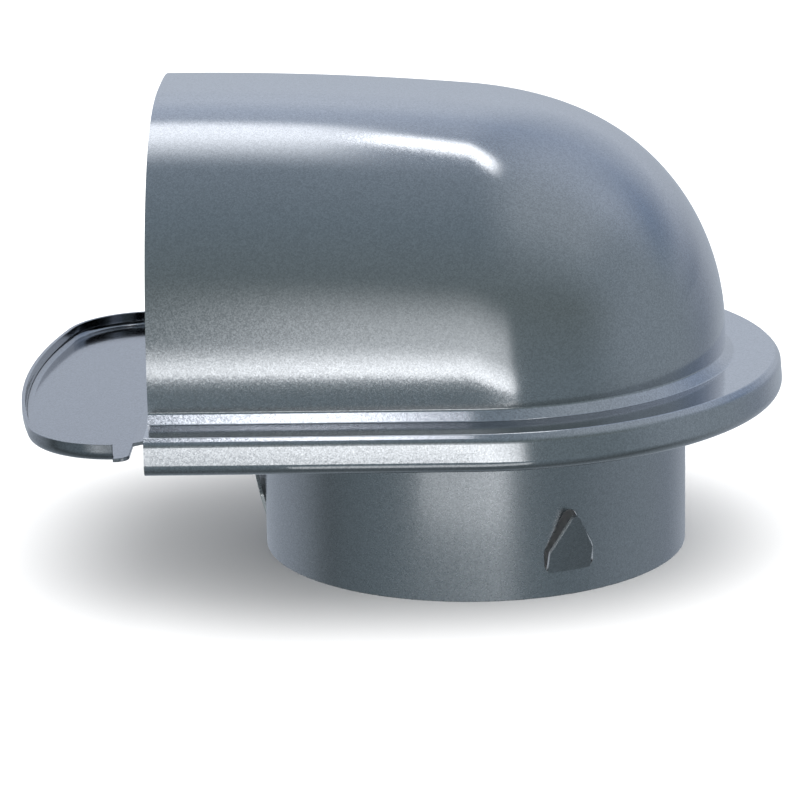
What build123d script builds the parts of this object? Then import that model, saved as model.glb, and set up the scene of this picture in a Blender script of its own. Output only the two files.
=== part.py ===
from build123d import *
import math
import os

# Wall vent hood of painted sheet steel: a drawn cowl, a wall plate with a long drip tongue,
# and a barbed spigot that goes into the duct. Millimetres.
# The origin is where the spigot's axis meets the wall. +Z points out of the wall, the mouth faces -X.

# Driving dimensions
sheet = 0.8                 # thickness of all three sheets
overall_length = 175.0      # from the tongue's tip to the back of the flange
spigot_od = 98.0            # outside diameter of the tube
spigot_length = 55.0        # whole tube, with the upstand inside the hood
spigot_reach = 36.2         # tube showing beyond the wall face

# Hood
flange_r = 71.2             # outermost reach of the skirt, from the spigot's axis
dome_r = 58.1               # outside of the cowl's upright wall
mouth_height = 72.4         # top of the cowl at the mouth, above the wall
roof_fall = 3.35            # how much lower the roof is above the spigot's axis
spring_z = 13.4             # where the upright wall ends and the dome begins
crown = 2.92                # exponent of the dome's cross-section: 2 is round, more is squarer
draw_step = 0.25            # the dome stands this far inside the wall that it is drawn up from
ledge_z = 8.6               # top of the flange
foot_r = 2.0                # hollow round at the foot of the cowl
edge_r = 2.0                # round from the flange to the skirt
skirt_draft = 0.7           # how far the skirt flares from its top to its widest line
roll_r = 2.6                # round of the skirt's rolled lower edge
hem_width = 4.6             # flat lip of the hem under the plate

# Wall plate and tongue
tongue_reach = 33.6         # from the plane of the mouth to the tongue's tip
plate_clearance = 0.3       # between the plate's edge and the inside of the hem's round
neck_half = 46.8            # half width of the neck that passes out of the mouth
neck_inset = 0.6            # the plate's front edge stands this far inside the mouth
neck_flat = 0.6             # level part of the neck outside the mouth
joggle_length = 4.0         # length over which the neck drops to the tongue
tongue_half = 58.5          # half width of the tongue
tongue_depth = 25.6         # from the ends of the rim to the tip
tongue_corner_r = 21.0      # round of the tongue's outer corners
tongue_heel_r = 2.8         # round of the tongue's corners beside the neck
rim_height = 3.9            # turned-up rim, from the tongue's underside
rim_fillet = 1.4            # inside bend of the rim

# Spigot
hole_clearance = 0.1        # between the tube and the plate's hole
bead_length = 2.4           # each swaged bead, along the tube
bead_height = 1.0           # how far a bead stands out of the tube
groove_length = 1.6         # hollow inside each bead, along the tube
groove_depth = 0.7
barb_count = 3
barb_azimuth = -64.5        # angle of the first barb about the axis, from +X, in degrees
barb_width = 10.5
barb_height = 15.5          # from the root to the tip
barb_shoulder = 5.2         # straight sides of the barb, above its root
barb_tip_r = 1.2
barb_root = 5.6             # the barb's root stands this far above the tube's free end
barb_lift = 15.0            # outward bend of the barb, in degrees
barb_gap = 0.8              # width of the cut around the barb
barb_heel = 0.6             # the barb runs this far down into the tube's wall

# The dome is drawn through sections in planes that fan about a cross line below the cowl.
dome_overlap = 1.0          # the dome's foot runs down this far inside the upright wall
fan_x = -8.0
fan_z = -45.0
fan_first = 37.0
fan_last = 139.0
fan_count = 17
section_half_angle = 54.0
section_points = 17

spigot_r = spigot_od / 2
bore_r = spigot_r - sheet
spigot_end = -spigot_reach
plate_z = sheet
mouth_x = overall_length - flange_r - tongue_reach  # from the spigot's axis to the plane of the mouth
skirt_top_r = flange_r - skirt_draft
plate_r = flange_r - roll_r - plate_clearance
plate_front = mouth_x - neck_inset
joggle_start = mouth_x + neck_flat
joggle_end = joggle_start + joggle_length
tongue_tip = mouth_x + tongue_reach
rim_end = tongue_tip - tongue_depth
barb_root_z = spigot_end + barb_root


def roof(x):
    """Height of the cowl's roof line at x: it falls in a long curve from the mouth to the back."""
    return mouth_height - roof_fall * ((x + mouth_x) / mouth_x) ** 2


def inside_dome(x, y, z, wall):
    """True inside the dome's skin, taken inward by wall. In plan it is a half circle and two straights."""
    across = math.hypot(max(x, 0), y) / (dome_r - wall)
    rise = max(z - spring_z, 0) / (roof(x) - wall - spring_z)
    return across**crown + rise**2 < 1


def skin_point(fan_angle, side_angle, wall):
    """Point of the dome's skin in a fan plane, found by halving along a ray from the fan line."""
    near = 0.0
    far = 2 * overall_length
    up = math.cos(side_angle)
    while far - near > 1e-6:
        reach = (near + far) / 2
        x = fan_x + reach * up * math.cos(fan_angle)
        z = fan_z + reach * up * math.sin(fan_angle)
        if inside_dome(x, reach * math.sin(side_angle), z, wall):
            near = reach
        else:
            far = reach
    return (near * math.sin(side_angle), near * up)


def dome_sections(wall):
    """Faces across the dome in the fan planes, taken inward by wall, from the back to past the mouth."""
    faces = []
    for step in range(fan_count):
        fan_angle = math.radians(fan_first + (fan_last - fan_first) * step / (fan_count - 1))
        normal = (math.sin(fan_angle), 0, -math.cos(fan_angle))
        arch = []
        for place in range(section_points):
            share = 2 * place / (section_points - 1) - 1
            arch.append(skin_point(fan_angle, math.radians(section_half_angle * share), wall))
        with BuildSketch(Plane((fan_x, 0, fan_z), x_dir=(0, 1, 0), z_dir=normal)) as section:
            with BuildLine():
                Spline(*arch)
                Line(arch[-1], arch[0])
            make_face()
        faces.append(section.sketch.face())
    return faces


def barb_outline(gap, foot_z):
    """Pointed outline of a barb that faces +X, from foot_z up, grown by gap on its sides and tip."""
    half = barb_width / 2 + gap
    shoulder_z = barb_root_z + barb_shoulder
    with BuildSketch(Plane.YZ) as outline:
        with BuildLine():
            Polyline(
                (-half, foot_z),
                (-half, shoulder_z),
                (0, barb_root_z + barb_height + gap),
                (half, shoulder_z),
                (half, foot_z),
                close=True,
            )
        make_face()
        fillet(outline.vertices().group_by(Axis.Z)[-1], radius=barb_tip_r + gap)
    return outline.sketch


with BuildPart() as hood:
    loft(dome_sections(draw_step))
    loft(dome_sections(sheet + draw_step), mode=Mode.SUBTRACT)
    split(bisect_by=Plane.XY.offset(spring_z - dome_overlap), keep=Keep.TOP)
    split(bisect_by=Plane.YZ.offset(-mouth_x), keep=Keep.TOP)
    # Section of the cowl's wall, flange, skirt and hem, drawn where the straight side begins
    with BuildSketch(Plane((0, 0, 0), x_dir=(0, -1, 0), z_dir=(-1, 0, 0))) as rim_section:
        with BuildLine():
            wall_line = Line((dome_r, spring_z), (dome_r, ledge_z + foot_r))
            foot = TangentArc(wall_line @ 1, (dome_r + foot_r, ledge_z), tangent=wall_line % 1)
            ledge = Line(foot @ 1, (skirt_top_r - edge_r, ledge_z))
            edge = TangentArc(ledge @ 1, (skirt_top_r, ledge_z - edge_r), tangent=ledge % 1)
            skirt = Line(edge @ 1, (flange_r, roll_r))
            roll = TangentArc(skirt @ 1, (flange_r - roll_r, 0), tangent=(0, -1))
            Line(roll @ 1, (flange_r - roll_r - hem_width, 0))
            offset(amount=sheet, side=Side.RIGHT)
        make_face()
    extrude(amount=mouth_x)
    mirror(about=Plane.XZ)
    revolve(rim_section.sketch, axis=Axis.Z, revolution_arc=180)
hood.part.label = "hood"

# The bowed front of the tongue runs into both corner rounds.
corner_y = tongue_half - tongue_corner_r
bow_r = (tongue_depth**2 + corner_y**2 - tongue_corner_r**2) / (2 * (tongue_depth - tongue_corner_r))


def tongue_outline(inset, heel_x):
    """Outline of the tongue, taken inward by inset and closed by a straight line at heel_x."""
    half = tongue_half - inset
    bow_centre = Vector(bow_r - tongue_tip, 0)
    to_corner = (Vector(-rim_end, -corner_y) - bow_centre).normalized()
    bow_end = bow_centre + to_corner * (bow_r - inset)
    with BuildSketch() as outline:
        with BuildLine():
            side = Line((heel_x, -half), (-rim_end, -half))
            corner = TangentArc(side @ 1, bow_end, tangent=side % 1)
            bow = ThreePointArc(corner @ 1, (inset - tongue_tip, 0), (bow_end.X, -bow_end.Y))
            far_corner = TangentArc(bow @ 1, (-rim_end, half), tangent=bow % 1)
            far_side = Line(far_corner @ 1, (heel_x, half))
            Line(far_side @ 1, side @ 0)
        make_face()
    return outline.sketch


with BuildPart() as tray_space:
    # Hollow of the tongue inside its rim, with the round of the bend along its floor
    with BuildSketch(Plane.XY.offset(sheet)):
        add(tongue_outline(sheet, -joggle_end))
    extrude(amount=rim_height)
    fillet(tray_space.faces().sort_by(Axis.Z)[0].edges().sort_by(Axis.X)[:-1], radius=rim_fillet)

with BuildPart() as wall_plate:
    # Tongue with its turned-up rim, bent with one thickness all round
    with BuildSketch():
        add(tongue_outline(0, -joggle_end))
    extrude(amount=rim_height)
    fillet(wall_plate.faces().sort_by(Axis.Z)[0].edges().sort_by(Axis.X)[:-1], radius=rim_fillet + sheet)
    add(tray_space.part, mode=Mode.SUBTRACT)
    split(bisect_by=Plane.YZ.offset(-rim_end), keep=Keep.BOTTOM)
    # Flat heels between the rim's ends and the neck
    with BuildSketch() as heels:
        with Locations((-joggle_end, 0)):
            Rectangle(rim_end - joggle_end, 2 * tongue_half, align=(Align.MAX, Align.CENTER))
        fillet(heels.vertices().group_by(Axis.X)[-1], radius=tongue_heel_r)
    extrude(amount=sheet)
    # Neck that drops by one sheet thickness outside the mouth
    with BuildSketch(Plane.XZ):
        with BuildLine():
            Polyline(
                (-plate_front, plate_z),
                (-joggle_start, plate_z),
                (-joggle_end, 0),
                (-joggle_end, sheet),
                (-joggle_start, plate_z + sheet),
                (-plate_front, plate_z + sheet),
                close=True,
            )
        make_face()
    extrude(amount=neck_half, both=True)
    # Plate inside the skirt: a half disc with straight sides, resting on the hem, with the tube's hole
    with BuildSketch(Plane.XY.offset(plate_z)):
        Circle(plate_r)
        Rectangle(plate_front, 2 * plate_r, align=(Align.MAX, Align.CENTER))
        split(bisect_by=Plane.YZ.offset(-plate_front), keep=Keep.TOP)
        Circle(spigot_r + hole_clearance, mode=Mode.SUBTRACT)
    extrude(amount=sheet)
wall_plate.part.label = "wall_plate"

with BuildPart() as barb:
    # One barb cut from the tube's wall, before it is bent out
    extrude(barb_outline(0, barb_root_z - barb_heel), amount=spigot_od)
    with BuildSketch(Plane.XY.offset(spigot_end)):
        Circle(spigot_r)
        Circle(bore_r, mode=Mode.SUBTRACT)
    extrude(amount=spigot_length, mode=Mode.INTERSECT)

barb_hinge = Axis((spigot_r - sheet / 2, 0, barb_root_z), (0, 1, 0))
bent_barb = barb.part.rotate(barb_hinge, barb_lift)

with BuildPart() as barb_slot:
    extrude(barb_outline(barb_gap, barb_root_z), amount=spigot_od)

with BuildPart() as spigot:
    with BuildSketch(Plane.XY.offset(spigot_end)):
        Circle(spigot_r)
        Circle(bore_r, mode=Mode.SUBTRACT)
    extrude(amount=spigot_length)
    # Beads swaged out of the wall below and above the plate, with a groove inside
    for bead_z in (plate_z - bead_length / 2, plate_z + sheet + bead_length / 2):
        with BuildSketch(Plane.XZ):
            with BuildLine():
                bulge = ThreePointArc(
                    (spigot_r, bead_z - bead_length / 2),
                    (spigot_r + bead_height, bead_z),
                    (spigot_r, bead_z + bead_length / 2),
                )
                Line(bulge @ 1, bulge @ 0)
            make_face()
        revolve(axis=Axis.Z)
        with BuildSketch(Plane.XZ):
            with BuildLine():
                groove = ThreePointArc(
                    (bore_r, bead_z - groove_length / 2),
                    (bore_r + groove_depth, bead_z),
                    (bore_r, bead_z + groove_length / 2),
                )
                Line(groove @ 1, groove @ 0)
            make_face()
        revolve(axis=Axis.Z, mode=Mode.SUBTRACT)
    with PolarLocations(0, barb_count, start_angle=barb_azimuth):
        add(barb_slot.part, mode=Mode.SUBTRACT)
    with PolarLocations(0, barb_count, start_angle=barb_azimuth):
        add(bent_barb)
spigot.part.label = "spigot"

os.makedirs("parts", exist_ok=True)
for piece in (hood, wall_plate, spigot):
    export_step(piece.part, f"parts/{piece.part.label}.step")
    print(piece.part.label, piece.part.is_valid, len(piece.part.solids()), round(piece.part.volume, 1))
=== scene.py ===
import math
from collections import namedtuple

import bmesh
import bpy
from bpy.props import FloatProperty, FloatVectorProperty, PointerProperty
from mathutils import Matrix, Vector


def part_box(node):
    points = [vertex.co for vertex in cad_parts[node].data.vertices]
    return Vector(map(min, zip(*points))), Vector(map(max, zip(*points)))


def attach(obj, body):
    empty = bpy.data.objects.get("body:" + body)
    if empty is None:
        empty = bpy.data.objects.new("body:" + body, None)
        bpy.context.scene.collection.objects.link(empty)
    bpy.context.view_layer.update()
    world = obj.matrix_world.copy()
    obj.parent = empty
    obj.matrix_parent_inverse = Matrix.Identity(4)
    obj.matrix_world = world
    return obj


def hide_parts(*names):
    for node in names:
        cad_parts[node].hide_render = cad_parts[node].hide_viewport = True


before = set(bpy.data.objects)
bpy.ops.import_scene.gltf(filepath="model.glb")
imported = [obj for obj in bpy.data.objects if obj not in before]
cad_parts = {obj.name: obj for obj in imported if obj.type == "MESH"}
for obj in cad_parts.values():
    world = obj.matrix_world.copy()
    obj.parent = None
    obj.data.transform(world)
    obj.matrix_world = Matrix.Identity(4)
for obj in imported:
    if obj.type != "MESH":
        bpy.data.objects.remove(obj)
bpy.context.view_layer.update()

bl_info = {
    "name": "Wall Vent Hood",
    "version": (1, 0, 0),
    "blender": (4, 5, 0),
    "location": "3D View > Sidebar > Vent Hood",
    "description": "Dresses a wall vent hood of painted sheet steel and sets it on a plain studio floor",
    "category": "Object",
}

HOOD_LOW, HOOD_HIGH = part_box("hood")
FLOOR_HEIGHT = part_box("spigot")[0][2]

# Steps of the hood's mesh along each stretch
SIDE_STEPS = 46
BACK_STEPS = 96
DOME_STEPS = 84
BEND_STEPS = 12

# Points nearer than the first are joined, and faces thinner than the second are dropped
WELD_DISTANCE = 1e-7
EMPTY_WIDTH = 1e-8
SHARP_ANGLE = math.radians(40)

# Clear coat on the paint, and the waves that the paint dries with
COAT_WEIGHT = 0.4
COAT_ROUGHNESS = 0.06
PEEL_STRENGTH = 0.25
PEEL_DEPTH = 0.00002
BEVEL_SAMPLES = 6

# Detail and roughness of the noise in the drifts and in the waves of the paint
CLOUD_NOISE = (3.0, 0.55)
PEEL_NOISE = (2.0, 0.5)

# A face of the tube counts as wall where its normal is this close to the radius, as a cosine
WALL_COSINE = 0.6

FLOOR_ROUGHNESS = 0.9
ROOM_STRENGTH = 1.0
WHITE_STRENGTH = 1.5
FILM_WIDTH = 36
WHITE = (1.0, 1.0, 1.0)

# Colour sockets of a Mix node
MIX_FIRST, MIX_SECOND, MIX_RESULT = 6, 7, 2


def length(name, description, default):
    """A length property in metres."""
    return FloatProperty(name=name, description=description, default=default, precision=5, unit="LENGTH")


def share(name, description, default):
    """A property that runs from nothing to full."""
    return FloatProperty(name=name, description=description, default=default, min=0, max=1, subtype="FACTOR")


def angle(name, description, degrees):
    """An angle property, set in degrees."""
    return FloatProperty(name=name, description=description, default=math.radians(degrees), subtype="ANGLE")


def tint(name, description, default):
    """A colour property."""
    return FloatVectorProperty(
        name=name, description=description, default=default, min=0, max=1, subtype="COLOR"
    )


class VentHoodSizes(bpy.types.PropertyGroup):
    """Sizes of the drawn cowl with its flange, skirt and hem."""

    sheet: length("Sheet", "Thickness of the steel", 0.0008)
    flange_reach: length("Flange reach", "Widest line of the skirt, from the spigot's axis", HOOD_HIGH[0])
    mouth_reach: length("Mouth reach", "From the spigot's axis to the mouth", -HOOD_LOW[0])
    mouth_height: length("Mouth height", "Top of the cowl at the mouth", HOOD_HIGH[2])
    roof_fall: length("Roof fall", "How much lower the roof is above the spigot's axis", 0.00335)
    dome_radius: length("Dome radius", "Outside of the upright wall", 0.0581)
    spring_height: length("Spring height", "Where the upright wall runs into the dome", 0.0134)
    crown: FloatProperty(name="Crown", description="Squareness of the dome: 2 is round", default=2.92)
    ledge_height: length("Ledge height", "Top of the flange", 0.0086)
    bend_radius: length("Bend radius", "Round of the bends on both sides of the flange", 0.0007)
    corner_radius: length("Corner radius", "Round from the edge's band to the skirt", 0.002)
    foot_slope: length("Foot slope", "Sloping band at the foot of the cowl", 0.0023)
    edge_slope: length("Edge slope", "Sloping band between the flange and the skirt", 0.0008)
    skirt_lean: angle("Skirt lean", "How far the skirt flares", 4.5)
    roll_radius: length("Roll radius", "Round of the skirt's lower edge", 0.0026)
    hem_width: length("Hem width", "Flat lip of the hem under the plate", 0.0046)


class VentPaintLook(bpy.types.PropertyGroup):
    """Colours and grain of the metallic paint."""

    hood_colour: tint("Hood colour", "Paint of the cowl", (0.50, 0.51, 0.53))
    plate_colour: tint("Plate colour", "Paint of the wall plate and tongue", (0.35, 0.36, 0.38))
    spigot_colour: tint("Spigot colour", "Paint of the tube", (0.45, 0.46, 0.48))
    fleck_size: length("Fleck size", "Width of a metal fleck in the paint", 0.00026)
    fleck_contrast: share("Fleck contrast", "How far single flecks differ in brightness", 0.28)
    fleck_tilt: share("Fleck tilt", "How far single flecks lean out of the coat", 0.010)
    cloud_size: length("Cloud size", "Width of the soft drifts in the spray coat", 0.022)
    cloud_contrast: share("Cloud contrast", "How far the drifts differ in brightness", 0.05)
    peel_size: length("Peel size", "Width of the fine waves in the dried paint", 0.0009)
    roughness: share("Roughness", "Roughness of the metallic coat", 0.13)
    spigot_roughness: share("Spigot roughness", "Roughness of the coat on the tube", 0.30)
    cut_colour: tint("Cut colour", "Bare steel on the cut edges of the tube", (0.80, 0.79, 0.78))
    # Painted shade: a near-black colour on the tube's inside that stands for the shade there, not a coat of
    # its own
    inside_shade_colour: tint("Inside colour", "Painted shade inside the tube", (0.025, 0.027, 0.03))
    edge_round: length("Edge round", "How far the paint rounds off the cut edges", 0.00025)


class VentStageLook(bpy.types.PropertyGroup):
    """Floor, lights and camera of the plain studio."""

    floor_colour: tint("Floor colour", "Pale studio floor", (0.9, 0.9, 0.9))
    floor_size: length("Floor size", "Side of the square floor", 12.0)
    wash_size: length("Wash size", "Side of the soft light above the floor", 4.0)
    wash_height: length("Wash height", "Height of the soft light above the hood's hem", 2.5)
    wash_power: FloatProperty(
        name="Wash power", description="Power of the soft light above the floor", default=45
    )
    aim: FloatVectorProperty(
        name="Aim", description="Point that the camera looks at", default=(-0.01713, -0.00168, -0.00282),
        precision=5, subtype="TRANSLATION", unit="LENGTH",
    )
    distance: length("Distance", "From the camera to its aim", 0.8441)
    azimuth: angle("Azimuth", "Turn of the camera about the object", 1.64)
    elevation: angle("Elevation", "Height of the camera as an angle", 15.79)
    roll: angle("Roll", "Turn of the camera about its line of sight", -1.14)
    lens: FloatProperty(
        name="Lens", description="Focal length on a 36 mm frame", default=163.7, unit="CAMERA"
    )


class VentSettings(bpy.types.PropertyGroup):
    """All settings of the vent hood."""

    sizes: PointerProperty(type=VentHoodSizes)
    paint: PointerProperty(type=VentPaintLook)
    stage: PointerProperty(type=VentStageLook)


def add_object(name, data):
    """Put a new object with the given mesh, light or camera into the scene."""
    thing = bpy.data.objects.new(name, data)
    bpy.context.collection.objects.link(thing)
    return thing


def add_node(tree, kind, inputs=None, **settings):
    """Add a node, set its own settings, and fill or link its named inputs."""
    node = tree.nodes.new(kind)
    for name, value in settings.items():
        setattr(node, name, value)
    for name, value in (inputs or {}).items():
        if isinstance(value, bpy.types.NodeSocket):
            tree.links.new(value, node.inputs[name])
        else:
            node.inputs[name].default_value = value
    return node


def maths(tree, operation, *values):
    """Result of a Math node for values or sockets."""
    return add_node(tree, "ShaderNodeMath", dict(enumerate(values)), operation=operation).outputs[0]


def vector_maths(tree, operation, *vectors, **named):
    """Result of a Vector Math node for vectors or sockets, and a scale where it takes one."""
    inputs = dict(enumerate(vectors)) | named
    node = add_node(tree, "ShaderNodeVectorMath", inputs, operation=operation)
    return node.outputs["Value" if operation == "DOT_PRODUCT" else "Vector"]


def mix_colours(tree, factor, first, second):
    """Blend from one colour to another."""
    mix = add_node(
        tree, "ShaderNodeMix", {"Factor": factor, MIX_FIRST: first, MIX_SECOND: second}, data_type="RGBA"
    )
    return mix.outputs[MIX_RESULT]


def new_group(name, inputs, outputs):
    """An empty node group with named sockets."""
    tree = bpy.data.node_groups.new(name, "ShaderNodeTree")
    for in_out, sockets in (("INPUT", inputs), ("OUTPUT", outputs)):
        for socket, kind in sockets.items():
            tree.interface.new_socket(socket, in_out=in_out, socket_type="NodeSocket" + kind)
    return tree


def spray_coat_group():
    """Node group of sprayed metallic paint: flecks, soft drifts and the fine waves of the dried coat."""
    name = "Metallic spray coat"
    if name in bpy.data.node_groups:
        return bpy.data.node_groups[name]
    tree = new_group(
        name,
        {
            "Paint": "Color",
            "Normal": "Vector",
            "Fleck Size": "Float",
            "Fleck Contrast": "Float",
            "Fleck Tilt": "Float",
            "Cloud Size": "Float",
            "Cloud Contrast": "Float",
            "Peel Size": "Float",
            "Roughness": "Float",
        },
        {"Colour": "Color", "Roughness": "Float", "Height": "Float", "Normal": "Vector"},
    )
    given = add_node(tree, "NodeGroupInput").outputs
    place = add_node(tree, "ShaderNodeTexCoord").outputs["Object"]

    def per_metre(size):
        return maths(tree, "DIVIDE", 1.0, size)

    def noise(size, detail, roughness):
        inputs = {"Vector": place, "Scale": per_metre(size), "Detail": detail, "Roughness": roughness}
        return add_node(tree, "ShaderNodeTexNoise", inputs).outputs["Fac"]

    def swing(value, contrast):
        """A factor about one, from a value between 0 and 1."""
        return maths(tree, "MULTIPLY_ADD", maths(tree, "SUBTRACT", value, 0.5), contrast, 1.0)

    flecks = add_node(
        tree, "ShaderNodeTexVoronoi", {"Vector": place, "Scale": per_metre(given["Fleck Size"])}, feature="F1"
    ).outputs["Color"]
    fleck = add_node(tree, "ShaderNodeSeparateColor", {"Color": flecks}).outputs
    brightness = maths(
        tree, "MULTIPLY",
        swing(fleck["Red"], given["Fleck Contrast"]),
        swing(noise(given["Cloud Size"], *CLOUD_NOISE), given["Cloud Contrast"]),
    )
    roughness = maths(
        tree, "MULTIPLY", given["Roughness"], swing(fleck["Green"], given["Fleck Contrast"])
    )
    lean = vector_maths(tree, "SUBTRACT", flecks, (0.5, 0.5, 0.5))
    lean = vector_maths(tree, "SCALE", lean, Scale=given["Fleck Tilt"])
    leaning = vector_maths(tree, "ADD", given["Normal"], lean)
    add_node(
        tree, "NodeGroupOutput",
        {
            "Colour": vector_maths(tree, "SCALE", given["Paint"], Scale=brightness),
            "Roughness": roughness,
            "Height": noise(given["Peel Size"], *PEEL_NOISE),
            "Normal": vector_maths(tree, "NORMALIZE", leaning),
        },
    )
    return tree


def tube_faces_group():
    """Node group that tells a tube's cut edges and its inside from its outside, by the way they face."""
    tree = new_group("Tube faces", {}, {"Cut": "Float", "Inside": "Float"})
    place = add_node(tree, "ShaderNodeTexCoord").outputs["Object"]
    level = vector_maths(tree, "MULTIPLY", place, (1.0, 1.0, 0.0))
    outward = vector_maths(tree, "NORMALIZE", level)
    normal = add_node(tree, "ShaderNodeNewGeometry").outputs["True Normal"]
    facing = vector_maths(tree, "DOT_PRODUCT", outward, normal)
    cut = maths(tree, "LESS_THAN", maths(tree, "ABSOLUTE", facing), WALL_COSINE)
    inside = maths(tree, "LESS_THAN", facing, -WALL_COSINE)
    add_node(tree, "NodeGroupOutput", {"Cut": cut, "Inside": inside})
    return tree


def metallic_paint(name, colour, look, roughness, rounded):
    """Sprayed metallic paint with a thin clear coat, which rounds off the cut edges if asked to."""
    material = bpy.data.materials.new(name)
    material.use_nodes = True
    tree = material.node_tree
    tree.nodes.clear()
    if rounded:
        surface = add_node(tree, "ShaderNodeBevel", {"Radius": look.edge_round}, samples=BEVEL_SAMPLES)
    else:
        surface = add_node(tree, "ShaderNodeNewGeometry")
    spray = add_node(
        tree, "ShaderNodeGroup",
        {
            "Paint": (*colour, 1.0),
            "Normal": surface.outputs["Normal"],
            "Fleck Size": look.fleck_size,
            "Fleck Contrast": look.fleck_contrast,
            "Fleck Tilt": look.fleck_tilt,
            "Cloud Size": look.cloud_size,
            "Cloud Contrast": look.cloud_contrast,
            "Peel Size": look.peel_size,
            "Roughness": roughness,
        },
        node_tree=spray_coat_group(),
    )
    waves = add_node(
        tree, "ShaderNodeBump",
        {
            "Height": spray.outputs["Height"],
            "Normal": spray.outputs["Normal"],
            "Strength": PEEL_STRENGTH,
            "Distance": PEEL_DEPTH,
        },
    )
    shader = add_node(
        tree, "ShaderNodeBsdfPrincipled",
        {
            "Base Color": spray.outputs["Colour"],
            "Roughness": spray.outputs["Roughness"],
            "Normal": waves.outputs["Normal"],
            "Metallic": 1.0,
            "Coat Weight": COAT_WEIGHT,
            "Coat Roughness": COAT_ROUGHNESS,
            "Coat Normal": surface.outputs["Normal"],
        },
    )
    add_node(tree, "ShaderNodeOutputMaterial", {"Surface": shader.outputs["BSDF"]})
    return material


def sheet_mesh(name, outer, inner):
    """A bent sheet from matching rows of points on its two faces, closed along its last row and its ends."""
    columns = len(outer[0])
    count = len(outer)
    points = [point for row in outer + inner for point in row]

    def corner(row, column):
        return row * columns + column

    def on_inner(indices):
        return tuple(index + count * columns for index in indices)

    faces = []
    for row in range(count - 1):
        for column in range(columns - 1):
            near = (corner(row, column), corner(row + 1, column))
            far = (corner(row + 1, column + 1), corner(row, column + 1))
            faces.append(near + far)
            faces.append(on_inner(reversed(near + far)))
        for column in (0, columns - 1):
            edge = (corner(row, column), corner(row + 1, column))
            end = edge + on_inner(reversed(edge))
            faces.append(end if column else end[::-1])
    for column in range(columns - 1):
        lip = (corner(count - 1, column), corner(count - 1, column + 1))
        faces.append(lip[::-1] + on_inner(lip))
    mesh = bpy.data.meshes.new(name)
    mesh.from_pydata(points, [], faces)
    return mesh


def weld(mesh):
    """Join points that coincide, drop the faces that this empties, and turn all faces outward."""
    cells = bmesh.new()
    cells.from_mesh(mesh)
    bmesh.ops.remove_doubles(cells, verts=cells.verts, dist=WELD_DISTANCE)
    bmesh.ops.dissolve_degenerate(cells, edges=cells.edges, dist=EMPTY_WIDTH)
    bmesh.ops.recalc_face_normals(cells, faces=cells.faces)
    cells.to_mesh(mesh)
    cells.free()


def cowl_stations(sizes):
    """Places along the cowl's plan from the near end of the mouth round the back to the far end.

    Each holds the spine's x and the direction in which the skin lies from there.
    """
    near = [(-sizes.mouth_reach * (1 - step / SIDE_STEPS), 0.0, -1.0) for step in range(SIDE_STEPS)]
    back = []
    for step in range(BACK_STEPS + 1):
        turn = math.pi * step / BACK_STEPS
        back.append((0.0, math.sin(turn), -math.cos(turn)))
    far = [(spine, along, -across) for spine, along, across in reversed(near)]
    return near + back + far


def rim_section(sizes):
    """Section of the upright wall, flange, skirt and hem: radius, height and slope of the normal."""
    section = [(sizes.dome_radius, sizes.spring_height, 0.0)]

    def straight(reach):
        radius, height, slope = section[-1]
        section.append((radius + reach * math.sin(slope), height - reach * math.cos(slope), slope))

    def bend(turn_radius, last):
        radius, height, first = section[-1]
        side = 1 if last < first else -1
        for step in range(1, BEND_STEPS + 1):
            slope = first + (last - first) * step / BEND_STEPS
            section.append((
                radius + side * turn_radius * (math.cos(slope) - math.cos(first)),
                height + side * turn_radius * (math.sin(slope) - math.sin(first)),
                slope,
            ))

    level, band, lean = math.pi / 2, math.pi / 4, sizes.skirt_lean
    band_fall = math.sin(band)
    straight(sizes.spring_height - sizes.ledge_height - sizes.bend_radius - sizes.foot_slope * band_fall)
    bend(sizes.bend_radius, band)
    straight(sizes.foot_slope)
    bend(sizes.bend_radius, level)
    edge_fall = sizes.bend_radius * (1 - math.cos(band)) + sizes.edge_slope * band_fall
    edge_reach = (sizes.bend_radius + sizes.edge_slope) * band_fall
    corner_fall = sizes.corner_radius * (math.sin(band) - math.sin(lean))
    corner_reach = sizes.corner_radius * (math.cos(lean) - math.cos(band))
    roll_fall = sizes.roll_radius * (1 + math.sin(lean))
    roll_reach = sizes.roll_radius * (1 - math.cos(lean))
    skirt = (sizes.ledge_height - edge_fall - corner_fall - roll_fall) / math.cos(lean)
    skirt_reach = skirt * math.sin(lean)
    straight(
        sizes.flange_reach - section[-1][0] - edge_reach - corner_reach - skirt_reach - roll_reach
    )
    bend(sizes.bend_radius, band)
    straight(sizes.edge_slope)
    bend(sizes.corner_radius, lean)
    straight(skirt)
    bend(sizes.roll_radius, -level)
    straight(sizes.hem_width)
    return section


def cowl_rows(sizes, wall):
    """Rows of points on one face of the cowl, from the roof's spine down to the lip of the hem."""
    stations = cowl_stations(sizes)
    rows = []
    for step in range(DOME_STEPS + 1):
        descent = math.pi / 2 * step / DOME_STEPS
        radius = (sizes.dome_radius - wall) * math.sin(descent) ** (2 / sizes.crown)
        row = []
        for spine, along, across in stations:
            x = spine + radius * along
            fall = sizes.roof_fall * ((x + sizes.mouth_reach) / sizes.mouth_reach) ** 2
            rise = sizes.mouth_height - fall - wall - sizes.spring_height
            row.append(Vector((x, radius * across, sizes.spring_height + rise * math.cos(descent))))
        rows.append(row)
    for radius, height, slope in rim_section(sizes)[1:]:
        radius -= wall * math.cos(slope)
        height -= wall * math.sin(slope)
        rows.append([
            Vector((spine + radius * along, radius * across, height)) for spine, along, across in stations
        ])
    return rows


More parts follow.
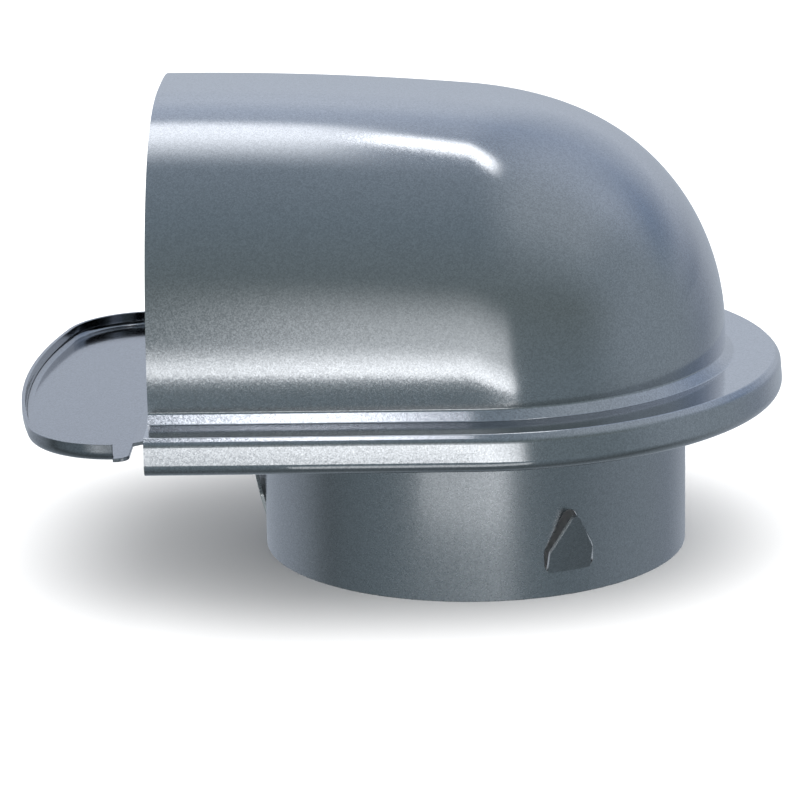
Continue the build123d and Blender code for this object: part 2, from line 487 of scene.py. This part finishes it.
class VENT_OT_hood(bpy.types.Operator):
    """Build the drawn cowl with its flange, skirt and rolled hem"""

    bl_idname = "vent.hood"
    bl_label = "Hood"

    def execute(self, context):
        sizes = context.scene.vent_hood.sizes
        look = context.scene.vent_hood.paint
        mesh = sheet_mesh("hood_cowl", cowl_rows(sizes, 0.0), cowl_rows(sizes, sizes.sheet))
        weld(mesh)
        mesh.shade_smooth()
        mesh.set_sharp_from_angle(angle=SHARP_ANGLE)
        mesh.materials.append(metallic_paint("Hood paint", look.hood_colour, look, look.roughness, False))
        cowl = add_object(mesh.name, mesh)
        normals = cowl.modifiers.new("Even shading", "WEIGHTED_NORMAL")
        normals.keep_sharp = True
        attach(cowl, "root")
        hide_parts("hood")
        return {"FINISHED"}


class VENT_OT_plate_and_spigot(bpy.types.Operator):
    """Paint the wall plate and the spigot"""

    bl_idname = "vent.plate_and_spigot"
    bl_label = "Plate and spigot"

    def execute(self, context):
        look = context.scene.vent_hood.paint
        plate = metallic_paint("Plate paint", look.plate_colour, look, look.roughness, True)
        spigot = metallic_paint("Spigot paint", look.spigot_colour, look, look.spigot_roughness, True)
        self.add_bare_edges_and_inside_shade(spigot.node_tree, look)
        for node, paint in (("wall_plate", plate), ("spigot", spigot)):
            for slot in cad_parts[node].material_slots:
                slot.material = paint
        return {"FINISHED"}

    def add_bare_edges_and_inside_shade(self, tree, look):
        """Show bare steel on the tube's cut edges, and painted shade inside it: a near-black colour stands for
        the shade in the tube.
        """
        shader = next(node for node in tree.nodes if node.type == "BSDF_PRINCIPLED")
        colour = shader.inputs["Base Color"].links[0].from_socket
        masks = add_node(tree, "ShaderNodeGroup", node_tree=tube_faces_group()).outputs
        # Bare steel on the cut faces, and painted shade (a near-black colour) on the faces inside the tube
        for mask, tone in (("Cut", look.cut_colour), ("Inside", look.inside_shade_colour)):
            colour = mix_colours(tree, masks[mask], colour, (*tone, 1.0))
        tree.links.new(colour, shader.inputs["Base Color"])


# Light of the room by the angle about the object's length: 0 is level in front, 90 is up, 180 is behind
ROOM_TONES = (
    (-180, (0.48, 0.53, 0.61)),
    (-120, (0.24, 0.28, 0.31)),
    (-80, (0.10, 0.12, 0.13)),
    (-20, (0.20, 0.25, 0.28)),
    (20, (0.185, 0.225, 0.235)),
    (50, (0.215, 0.27, 0.31)),
    (85, (0.28, 0.34, 0.40)),
    (140, (0.42, 0.50, 0.64)),
    (165, (0.60, 0.66, 0.76)),
    (180, (0.48, 0.53, 0.61)),
)

# Even light from the room's right end, the angle along the object's length where it is half blended in,
# and half the width of the blend
END_TONE = (0.30, 0.355, 0.40)
END_ANGLE = 62
END_SOFTNESS = 17

# Soft windows of light and shade in the room: span along the object's length, span about it, softness of
# the four edges, all in degrees, then how far the span about it sinks for each degree along it to the right,
# and the strength
Window = namedtuple("Window", "along about softness shear strength")
WINDOWS = {
    "roof strip": Window((-40, 0.4), (100, 126), (0.6, 0.4, 17, 5), 0.0, 1.3),
    "roof strip, gap": Window((0.4, 1.8), (100, 125), (0.4, 0.4, 17, 5), 0.0, 0.8),
    "roof arc": Window((1.8, 13), (113.5, 124.5), (0.5, 3, 4, 3), 1.6, 2.5),
    "roof haze": Window((-40, 5), (124, 158), (1, 6, 6, 8), 0.0, 0.16),
    "right haze": Window((16, 60), (45, 135), (12, 14, 25, 25), 0.0, 0.13),
    "back shade": Window((40, 80), (130, 220), (16, 10, 20, 10), 0.0, -0.22),
    "back shade, low": Window((40, 90), (-190, -150), (14, 1, 5, 20), 0.0, -0.14),
    "front panel": Window((-40, 18.5), (-8.7, -4), (3, 1.2, 0.8, 7), 0.4, 1.7),
    "front glow": Window((-4.1, 17), (-8.7, 15), (2.2, 2, 0.8, 12), 0.4, 0.60),
}

# Small panels close to the paint, each for one line or gleam: the point that a panel faces, the way from
# there to the panel and how far, its width and height, power, spread in degrees and colour
Glint = namedtuple("Glint", "target towards distance size power spread colour")
STRIP_RISE = math.radians(74)
GLINTS = {
    "flange_strip": Glint(
        (-0.045, -0.0645, 0.009), (-0.05, -math.cos(STRIP_RISE), math.sin(STRIP_RISE)), 0.33,
        (0.16, 0.03), 0.00008, 6, (0.93, 0.94, 1.0),
    ),
    "spigot_glow_wide": Glint(
        (-0.008, -0.049, -0.0245), (0.0, -1.0, 0.0), 0.05, (0.066, 0.021), 0.0022, 180, WHITE
    ),
    "spigot_glow_narrow": Glint(
        (-0.008, -0.049, -0.0245), (0.0, -1.0, 0.0), 0.05, (0.03, 0.021), 0.0014, 180, WHITE
    ),
    "tongue_glow": Glint(
        (-0.085, -0.045, -0.002), (-0.37, -0.88, -0.28), 0.055, (0.07, 0.03), 0.00014, 40, WHITE
    ),
}


def soft_step(tree, value, edge, softness, rising, label):
    """A mask that rises or falls smoothly where a value passes an edge."""
    return add_node(
        tree, "ShaderNodeMapRange",
        {
            "Value": value,
            "From Min": edge - softness,
            "From Max": edge + softness,
            "To Min": 0.0 if rising else 1.0,
            "To Max": 1.0 if rising else 0.0,
        },
        interpolation_type="SMOOTHSTEP",
        label=label,
    ).outputs["Result"]


def soft_span(tree, value, span, softness, label):
    """A mask that is full while a value lies in a span."""
    first = soft_step(tree, value, span[0], softness[0], True, label)
    last = soft_step(tree, value, span[1], softness[1], False, label)
    return maths(tree, "MULTIPLY", first, last)


def room_ramp(tree, about):
    """Colour of the room without its windows, for an angle about the object's length in degrees."""
    ramp = add_node(tree, "ShaderNodeValToRGB", {"Fac": maths(tree, "MULTIPLY_ADD", about, 1 / 360, 0.5)})
    stops = ramp.color_ramp.elements
    for index, (degrees, tone) in enumerate(ROOM_TONES):
        place = degrees / 360 + 0.5
        if index in (0, len(ROOM_TONES) - 1):
            stop = stops[0 if index == 0 else -1]
            stop.position = place
        else:
            stop = stops.new(place)
        stop.color = (*tone, 1.0)
    return ramp.outputs["Color"]


def studio_group():
    """Node group of the studio's light in every direction: a dim room and soft windows."""
    tree = new_group("Studio light", {"Direction": "Vector"}, {"Colour": "Color"})
    direction = add_node(tree, "NodeGroupInput").outputs["Direction"]
    axes = add_node(tree, "ShaderNodeSeparateXYZ", {"Vector": direction}).outputs
    along = maths(tree, "DEGREES", maths(tree, "ARCSINE", axes["X"]))
    forward = maths(tree, "MULTIPLY", axes["Y"], -1.0)
    about = maths(tree, "DEGREES", maths(tree, "ARCTAN2", axes["Z"], forward))
    rightward = maths(tree, "MAXIMUM", along, 0.0)
    glow = 0.0
    for name, window in WINDOWS.items():
        sheared = maths(tree, "MULTIPLY_ADD", rightward, window.shear, about)
        mask = maths(
            tree, "MULTIPLY",
            soft_span(tree, along, window.along, window.softness[:2], name),
            soft_span(tree, sheared, window.about, window.softness[2:], name),
        )
        glow = maths(tree, "MULTIPLY_ADD", mask, window.strength, glow)
    colour = vector_maths(tree, "ADD", room_ramp(tree, about), glow)
    end = soft_step(tree, along, END_ANGLE, END_SOFTNESS, True, "right end")
    add_node(tree, "NodeGroupOutput", {"Colour": mix_colours(tree, end, colour, (*END_TONE, 1.0))})
    return tree


class VENT_OT_stage(bpy.types.Operator):
    """Set the pale floor, the soft lights and the camera"""

    bl_idname = "vent.stage"
    bl_label = "Stage"

    def execute(self, context):
        look = context.scene.vent_hood.stage
        self.add_floor(look)
        self.add_room(context.scene)
        self.add_wash(look)
        self.add_glints()
        self.add_camera(context.scene, look)
        return {"FINISHED"}

    def add_floor(self, look):
        """A wide plain floor under the spigot's end, which doesn't show in the paint."""
        half = look.floor_size / 2
        mesh = bpy.data.meshes.new("floor")
        corners = [(-half, -half, 0), (half, -half, 0), (half, half, 0), (-half, half, 0)]
        mesh.from_pydata(corners, [], [(0, 1, 2, 3)])
        material = bpy.data.materials.new("Pale floor")
        material.use_nodes = True
        shader = material.node_tree.nodes["Principled BSDF"]
        shader.inputs["Base Color"].default_value = (*look.floor_colour, 1.0)
        shader.inputs["Roughness"].default_value = FLOOR_ROUGHNESS
        mesh.materials.append(material)
        floor = add_object("floor", mesh)
        floor.location.z = FLOOR_HEIGHT
        floor.visible_glossy = False

    def add_room(self, scene):
        """White behind the floor for the camera, and the studio's soft windows for the paint."""
        world = bpy.data.worlds.new("Studio")
        world.use_nodes = True
        tree = world.node_tree
        tree.nodes.clear()
        direction = add_node(tree, "ShaderNodeTexCoord").outputs["Generated"]
        studio = add_node(tree, "ShaderNodeGroup", {"Direction": direction}, node_tree=studio_group())
        light = add_node(
            tree, "ShaderNodeBackground", {"Color": studio.outputs["Colour"], "Strength": ROOM_STRENGTH}
        )
        white = add_node(
            tree, "ShaderNodeBackground", {"Color": (*WHITE, 1.0), "Strength": WHITE_STRENGTH}
        )
        paths = add_node(tree, "ShaderNodeLightPath").outputs
        plain = maths(tree, "MAXIMUM", paths["Is Camera Ray"], paths["Is Diffuse Ray"])
        mix = add_node(tree, "ShaderNodeMixShader", {0: plain, 1: light.outputs[0], 2: white.outputs[0]})
        add_node(tree, "ShaderNodeOutputWorld", {"Surface": mix.outputs[0]})
        scene.world = world

    def add_wash(self, look):
        """A wide soft light overhead that whitens the floor and doesn't show in the paint."""
        size = (look.wash_size, look.wash_size)
        place = Vector((0.0, 0.0, look.wash_height))
        light = self.add_panel("floor_wash", place, Vector((0.0, 0.0, 1.0)), size, look.wash_power)
        light.visible_glossy = False

    def add_glints(self):
        """Bright lines along the flange, a soft upright gleam on the tube and a lighter edge on the tongue."""
        for name, glint in GLINTS.items():
            towards = Vector(glint.towards).normalized()
            place = Vector(glint.target) + glint.distance * towards
            light = self.add_panel(name, place, towards, glint.size, glint.power)
            light.data.spread = math.radians(glint.spread)
            light.data.color = glint.colour

    def add_panel(self, name, place, facing, size, power):
        """A rectangular light whose back is turned towards a direction, unseen by the camera."""
        lamp = bpy.data.lights.new(name, "AREA")
        lamp.shape = "RECTANGLE"
        lamp.size, lamp.size_y = size
        lamp.energy = power
        light = add_object(name, lamp)
        light.location = place
        light.rotation_euler = facing.to_track_quat("Z", "Y").to_euler()
        light.visible_camera = False
        return light

    def add_camera(self, scene, look):
        """A camera on a line that turns about the aim."""
        lens = bpy.data.cameras.new("camera")
        lens.lens = look.lens
        lens.sensor_width = FILM_WIDTH
        camera = add_object("camera", lens)
        back = Vector((
            math.sin(look.azimuth) * math.cos(look.elevation),
            -math.cos(look.azimuth) * math.cos(look.elevation),
            math.sin(look.elevation),
        ))
        right = Vector((math.cos(look.azimuth), math.sin(look.azimuth), 0))
        up = back.cross(right)
        turn = Matrix((right, up, back)).transposed().to_4x4()
        place = Matrix.Translation(Vector(look.aim) + back * look.distance)
        camera.matrix_world = place @ turn @ Matrix.Rotation(look.roll, 4, "Z")
        scene.camera = camera
        scene.view_settings.view_transform = "Standard"


class VENT_PT_sidebar(bpy.types.Panel):
    """Lists the pieces of the vent hood and their settings"""

    bl_idname = "VENT_PT_sidebar"
    bl_label = "Vent Hood"
    bl_space_type = "VIEW_3D"
    bl_region_type = "UI"
    bl_category = "Vent Hood"

    def draw(self, context):
        settings = context.scene.vent_hood
        for operator in OPERATORS:
            self.layout.operator(operator.bl_idname)
        for group in (settings.sizes, settings.paint, settings.stage):
            box = self.layout.box()
            for name in group.bl_rna.properties.keys():
                if name not in ("rna_type", "name"):
                    box.prop(group, name)


OPERATORS = (VENT_OT_hood, VENT_OT_plate_and_spigot, VENT_OT_stage)
CLASSES = (VentHoodSizes, VentPaintLook, VentStageLook, VentSettings, *OPERATORS, VENT_PT_sidebar)


def register():
    for cls in CLASSES:
        bpy.utils.register_class(cls)
    bpy.types.Scene.vent_hood = PointerProperty(type=VentSettings)


def unregister():
    del bpy.types.Scene.vent_hood
    for cls in reversed(CLASSES):
        bpy.utils.unregister_class(cls)


def main():
    register()
    bpy.ops.vent.hood()
    bpy.ops.vent.plate_and_spigot()
    bpy.ops.vent.stage()


if __name__ == "__main__":
    main()
